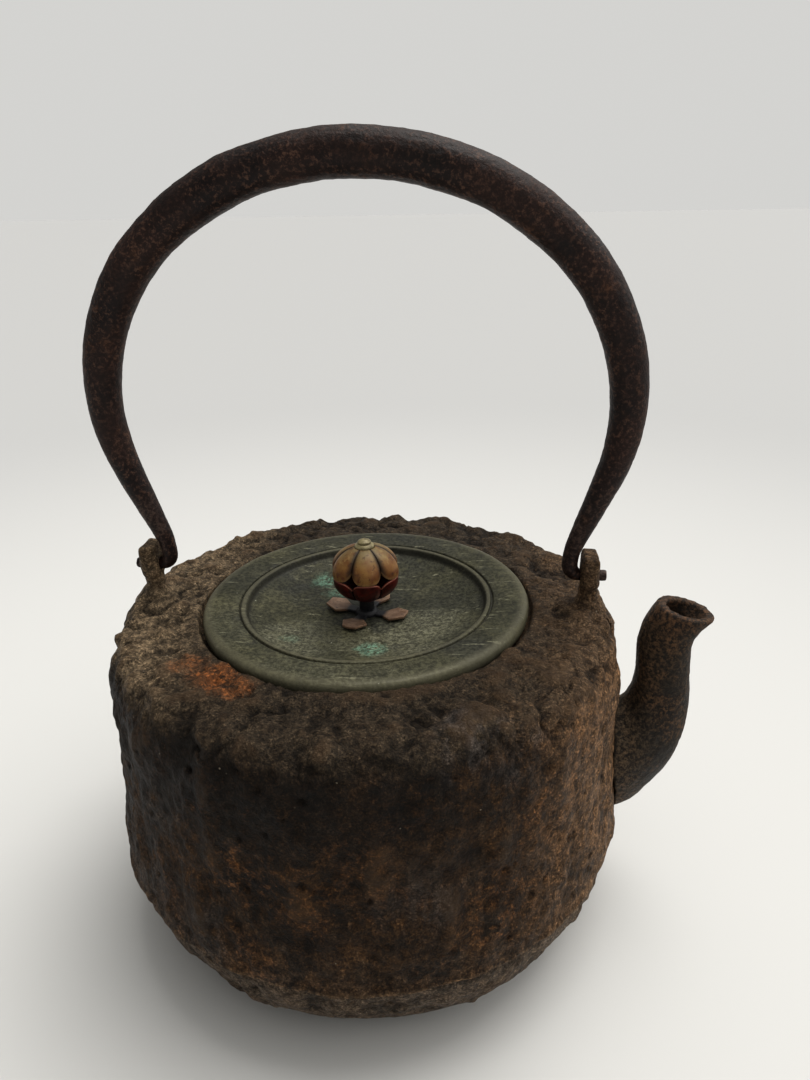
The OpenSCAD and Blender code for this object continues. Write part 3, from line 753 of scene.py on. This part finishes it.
def make_lid(material):
    """Turned lid: bull-nosed rim, sloping band, fine groove, raised ring and dished centre."""
    ring_r = 36.9 * MM
    flange_r = 40.6 * MM
    under = LID_LOW.z
    seat = LID_TOP - 5 * MM
    corners = [(STEM_BORE, DISH_Z, 0), (12 * MM, DISH_Z, 6 * MM), (24 * MM, DISH_Z + 0.55 * MM, 6 * MM),
               (31 * MM, DISH_Z + 1.8 * MM, 5 * MM), (ring_r - 0.6 * MM, DISH_Z + 3.5 * MM, 0.7 * MM),
               (ring_r + 0.25 * MM, LID_TOP - 0.75 * MM, 0.4 * MM),
               (ring_r + 1.55 * MM, LID_TOP - 0.6 * MM, 0.4 * MM),
               (ring_r + 1.8 * MM, LID_TOP - 1.35 * MM, 0.12 * MM),
               (ring_r + 2.2 * MM, LID_TOP - 1.35 * MM, 0.12 * MM),
               (ring_r + 2.5 * MM, LID_TOP - 0.65 * MM, 0.4 * MM), (44.5 * MM, LID_TOP, 3 * MM),
               (LID_R, LID_TOP - 0.1 * MM, 2.3 * MM), (LID_R, seat, 2.3 * MM), (flange_r, seat, 0.5 * MM),
               (24 * MM, under + 0.6 * MM, 4 * MM), (12 * MM, under, 4 * MM), (STEM_BORE, under, 0)]
    outline = split_long(rounded(corners), 0.9 * MM)
    obj = turned("kettle_lid", outline, 300)
    co = points_of(obj)
    height = 0.16 * MM * layered(co, 18 * MM, 151, 2) + 0.03 * MM * layered(co, 3 * MM, 161, 2)
    r = np.hypot(co[:, 0], co[:, 1])
    co += normals_of(obj) * (height * ramp(r, 4 * MM, 10 * MM))[:, None]
    co[:, 2] += ramp(r, 4 * MM, 12 * MM) * (0.25 * MM + 0.009 * co[:, 0])
    set_points(obj, co)
    on_top = ramp(co[:, 2], DISH_Z - 0.5 * MM, DISH_Z)
    # Ring crest and rim top: wear and painted highlight.
    crest = np.exp(-((r - ring_r - 0.9 * MM) / (0.6 * MM)) ** 2) + ramp(r, 46 * MM, 49.4 * MM)
    # The groove and the foot of the ring's inner edge: grime and painted shade.
    groove = np.exp(-((r - ring_r - 2 * MM) / (0.3 * MM)) ** 2)
    groove = groove + np.exp(-((r - ring_r + 0.3 * MM) / (0.6 * MM)) ** 2)
    set_value(obj, "wear_and_highlight", np.clip(crest, 0, 1) * on_top)
    set_value(obj, "grime_and_shade", np.clip(groove, 0, 1) * on_top)
    return dressed(obj, material, "lid", "lid_bronze", "lid_plate")


def make_seat(material):
    """Four-leaf seat: arms from a low boss, each ending in a lifted pentagonal leaf."""
    turn = math.radians(-16)
    arm, leaf_start, leaf_mid, leaf_end = 1.6 * MM, 5.8 * MM, 9.0 * MM, 13.2 * MM
    top = DISH_Z + 0.9 * MM
    sheet = 0.8 * MM
    layer = 16
    half_section = [(2.5 * MM, arm, 0), (leaf_start, arm, 0.1),
                    (leaf_mid, 4.05 * MM, 0.7), (leaf_end, 2.2 * MM, 1.4)]
    vertices, faces = [], []
    for k in range(4):
        a = turn + k * math.pi / 2
        start = len(vertices)
        for level in (0.0, sheet):
            for x, half, lift in half_section:
                for y in (-half, -0.4 * half, 0.4 * half, half):
                    dip = 0.25 * MM if abs(y) < half and x > leaf_start else 0
                    z = top - sheet + level + lift * MM - dip
                    vertices.append((x * math.cos(a) - y * math.sin(a), x * math.sin(a) + y * math.cos(a), z))
        for s in range(3):
            for c in range(3):
                low = start + s * 4 + c
                high = low + layer
                faces += [(low, low + 1, low + 5, low + 4), (high, high + 4, high + 5, high + 1)]
        ring = [0, 4, 8, 12, 13, 14, 15, 11, 7, 3, 2, 1]
        for i, v in enumerate(ring):
            w = ring[(i + 1) % len(ring)]
            faces.append((start + v, start + w, start + w + layer, start + v + layer))
    mesh = bpy.data.meshes.new("knob_seat_leaves")
    mesh.from_pydata(vertices, [], faces)
    obj = add_object("knob_seat_leaves", mesh)
    bevel = obj.modifiers.new("bevel", "BEVEL")
    bevel.width = 0.22 * MM
    bevel.segments = 2
    bevel.limit_method = "ANGLE"
    baked_modifiers(obj)
    boss_top = max(SEAT_HIGH.z, top)
    boss = rounded([(STEM_BORE, DISH_Z, 0), (3.7 * MM, DISH_Z, 0.2 * MM), (3.6 * MM, top, 0.4 * MM),
                    (2.8 * MM, boss_top, 0.4 * MM), (STEM_BORE, boss_top, 0)])
    cone = turned("seat_boss", boss, 64)
    joined = join([obj, cone], "knob_seat_leaves")
    return dressed(joined, material, "lid", "dark_copper", "knob_seat")


def join(objects, name):
    """One object from several, in the row frame."""
    with bpy.context.temp_override(active_object=objects[0], selected_editable_objects=objects):
        bpy.ops.object.join()
    objects[0].name = name
    return objects[0]


# ---------- knob ----------

def make_bud_half(name, node, material, slot, upper):
    """Six sheet petals of one half: crowned across, rounded at the free end, with open joints."""
    petals, columns, rows = 6, 16, 18
    turn = math.radians(11)
    middle = 0.5 * (BUD_LOW.z + CUP_HIGH.z)
    radius = 11.05 * MM if upper else 10.9 * MM
    half_height = 9.0 * MM
    sign = 1 if upper else -1
    pole = math.radians(73)
    gap = 0.025
    vertices, faces, crease, edge = [], [], [], []
    for petal in range(petals):
        start = len(vertices)
        for shell, inset in enumerate((0.0, 0.75 * MM)):
            for i in range(rows + 1):
                t = i / rows
                for j in range(columns + 1):
                    u = 2 * j / columns - 1
                    end = math.radians(0.5 + 17 * abs(u) ** 4)
                    lat = pole + (end - pole) * t
                    crown = 1 - 0.14 * abs(u) ** 2.4 * math.cos(lat) ** 0.5
                    tuck = 1 - 0.035 * max(0.0, t - 0.75) / 0.25
                    az = turn + (petal + 0.5 + 0.5 * u * (1 - gap * t)) * 2 * math.pi / petals
                    flat = (radius * crown * tuck - inset) * math.cos(lat)
                    vertices.append((flat * math.cos(az), flat * math.sin(az),
                                     middle + sign * (half_height - inset) * math.sin(lat)))
                    crease.append(abs(u))
                    edge.append(ramp(np.array(t), 0.9, 1.0) * (1 if shell == 0 else 0.5))
        side = columns + 1
        count = (rows + 1) * side
        for i in range(rows):
            for j in range(columns):
                a = start + i * side + j
                b = a + count
                faces += [(a, a + 1, a + side + 1, a + side), (b, b + side, b + side + 1, b + 1)]
        rim = [i * side for i in range(rows + 1)] + [rows * side + j for j in range(1, side)]
        rim += [i * side + columns for i in range(rows - 1, -1, -1)] + list(range(columns - 1, 0, -1))
        for i, v in enumerate(rim):
            w = rim[(i + 1) % len(rim)]
            faces.append((start + v, start + w, start + w + count, start + v + count))
    if not upper:
        faces = [tuple(reversed(face)) for face in faces]
    mesh = bpy.data.meshes.new(name)
    mesh.from_pydata(vertices, [], faces)
    obj = add_object(name, mesh)
    set_value(obj, "crease", crease)
    set_value(obj, "edge", edge)
    smooth_shaded(obj)
    bevel = obj.modifiers.new("bevel", "BEVEL")
    bevel.width = 0.16 * MM
    bevel.segments = 2
    bevel.limit_method = "ANGLE"
    baked_modifiers(obj)
    return dressed(obj, material, "knob", slot, node)


def make_finial(brass):
    low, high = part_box("knob_collar")
    r = high.x
    z0, z1 = low.z - 0.5 * MM, high.z
    outline = rounded([(0.5 * MM, z0, 0), (r, z0, 0.1 * MM), (r, z0 + 0.9 * MM, 0.3 * MM),
                       (0.72 * r, z1, 0.3 * MM), (0.5 * MM, z1, 0)])
    collar = turned("bud_collar", outline, 64)
    dressed(collar, brass, "knob", "pale_brass", "knob_collar")
    low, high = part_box("knob_finial")
    r, z0, z1 = high.x, low.z, high.z
    outline = rounded([(0.05 * MM, z0, 0), (r, z0, 0.3 * MM), (r, z0 + 0.6 * MM, 0.4 * MM),
                       (0.4 * r, z1, 0.5 * MM), (0.05 * MM, z1, 0)])
    button = turned("bud_finial", outline, 64)
    dressed(button, brass, "knob", "pale_brass", "knob_finial")


# ---------- stage ----------

# Strength of the surroundings on the dim and the bright side, and as the camera sees them
DIM_SIDE, BRIGHT_SIDE, BACKDROP = 0.33, 2.1, 0.7
BRIGHT_WAY = (0.5, 0.15, 0.85)
SKY_COLOR = (0.97, 0.965, 0.94, 1)
CEILING_POWER = 1.8
CEILING_COLOR = (1, 0.98, 0.95)
CEILING_WAY = (-0.26, -0.2, -1)
FLOOR_REACH = 8.0
SENSOR_WIDTH = 36
# Focal length as a share of the picture's longer side
FOCAL_SHARE = 800 / 1080


def add_camera():
    """The picture's viewpoint: above and in front, with the kettle's spout turned slightly away."""
    azimuth, pitch, roll, pan = (math.radians(a) for a in (9.4, 23.67, -1.10, 3.19))
    distance, height = 221.8 * MM, 115.4 * MM + LID_TOP
    heading = pan - azimuth
    level = Vector((math.sin(heading), math.cos(heading), 0))
    right = Vector((math.cos(heading), -math.sin(heading), 0))
    up = Vector((0, 0, 1))
    forward = math.cos(pitch) * level - math.sin(pitch) * up
    tilted_up = math.sin(pitch) * level + math.cos(pitch) * up
    x = math.cos(roll) * right + math.sin(roll) * tilted_up
    y = -math.sin(roll) * right + math.cos(roll) * tilted_up
    data = bpy.data.cameras.new("camera")
    data.sensor_width = SENSOR_WIDTH
    data.lens = SENSOR_WIDTH * FOCAL_SHARE
    data.clip_start = 0.01
    camera = bpy.data.objects.new("camera", data)
    bpy.context.scene.collection.objects.link(camera)
    turn = Matrix((x, y, -forward)).transposed().to_4x4()
    place = Vector((distance * math.sin(azimuth), -distance * math.cos(azimuth), height))
    camera.matrix_world = Matrix.Translation(place) @ turn
    bpy.context.scene.camera = camera


def add_world():
    """Soft white surroundings, brighter behind and above than on the camera's side."""
    world = bpy.data.worlds.new("world")
    world.use_nodes = True
    tree = world.node_tree
    direction = tree.nodes.new("ShaderNodeTexCoord").outputs["Generated"]
    dot = tree.nodes.new("ShaderNodeVectorMath")
    dot.operation = "DOT_PRODUCT"
    dot.inputs[1].default_value = BRIGHT_WAY
    tree.links.new(direction, dot.inputs[0])
    strength = tree.nodes.new("ShaderNodeMapRange")
    tree.links.new(dot.outputs["Value"], strength.inputs["Value"])
    limits = (("From Min", 0.45), ("From Max", 1.0), ("To Min", DIM_SIDE), ("To Max", BRIGHT_SIDE))
    for name, value in limits:
        strength.inputs[name].default_value = value
    background = tree.nodes["Background"]
    background.inputs["Color"].default_value = SKY_COLOR
    seen = tree.nodes.new("ShaderNodeMix")
    seen.inputs["B"].default_value = BACKDROP
    path = tree.nodes.new("ShaderNodeLightPath")
    tree.links.new(path.outputs["Is Camera Ray"], seen.inputs["Factor"])
    tree.links.new(strength.outputs[0], seen.inputs["A"])
    tree.links.new(seen.outputs[0], background.inputs["Strength"])
    bpy.context.scene.world = world


def add_ceiling():
    """One broad soft light overhead, a little to the right and behind."""
    data = bpy.data.lights.new("ceiling", "SUN")
    data.energy = CEILING_POWER
    data.angle = math.radians(38)
    data.color = CEILING_COLOR
    obj = bpy.data.objects.new("ceiling", data)
    bpy.context.scene.collection.objects.link(obj)
    obj.rotation_euler = Vector(CEILING_WAY).to_track_quat("-Z", "Y").to_euler()


def add_floor():
    corners = [(x * FLOOR_REACH, y * FLOOR_REACH, 0) for x, y in ((-1, -1), (1, -1), (1, 1), (-1, 1))]
    mesh = bpy.data.meshes.new("floor")
    mesh.from_pydata(corners, [], [(0, 1, 2, 3)])
    obj = add_object("floor", mesh)
    p = Paint("pale_floor")
    # Painted light falloff: the floor is lighter near the kettle and darker further out.
    color = p.mix(p.fade(p.radius(), 0.12, 0.7), (0.6, 0.597, 0.583), (0.46, 0.46, 0.457))
    obj.data.materials.append(p.finish(color, 0.8, specular=0.1))


add_camera()
add_world()
add_ceiling()
add_floor()
bpy.context.scene.view_settings.view_transform = "Standard"
bpy.context.scene.view_settings.gamma = 0.92

BODY_IRON = body_iron()
FORGED = forged_iron()
BRONZE = lid_bronze()
DARK = dark_copper()

make_shell(BODY_IRON)
make_pan(BODY_IRON)
make_spout(spout_iron())
make_lug("left", BODY_IRON)
make_lug("right", BODY_IRON)
make_handle(FORGED)
make_lid(BRONZE)
make_seat(DARK)
make_bud_half("bud_upper_petals", "knob_upper_bud", tan_copper(), "tan_copper", True)
make_bud_half("bud_lower_petals", "knob_lower_cup", red_copper(), "red_copper", False)
make_finial(pale_brass())

for node, material in (("lid_locating_ring", BRONZE), ("lid_under_washer", DARK), ("knob_stem", DARK)):
    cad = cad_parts[node]
    for slot in cad.material_slots:
        slot.material = material
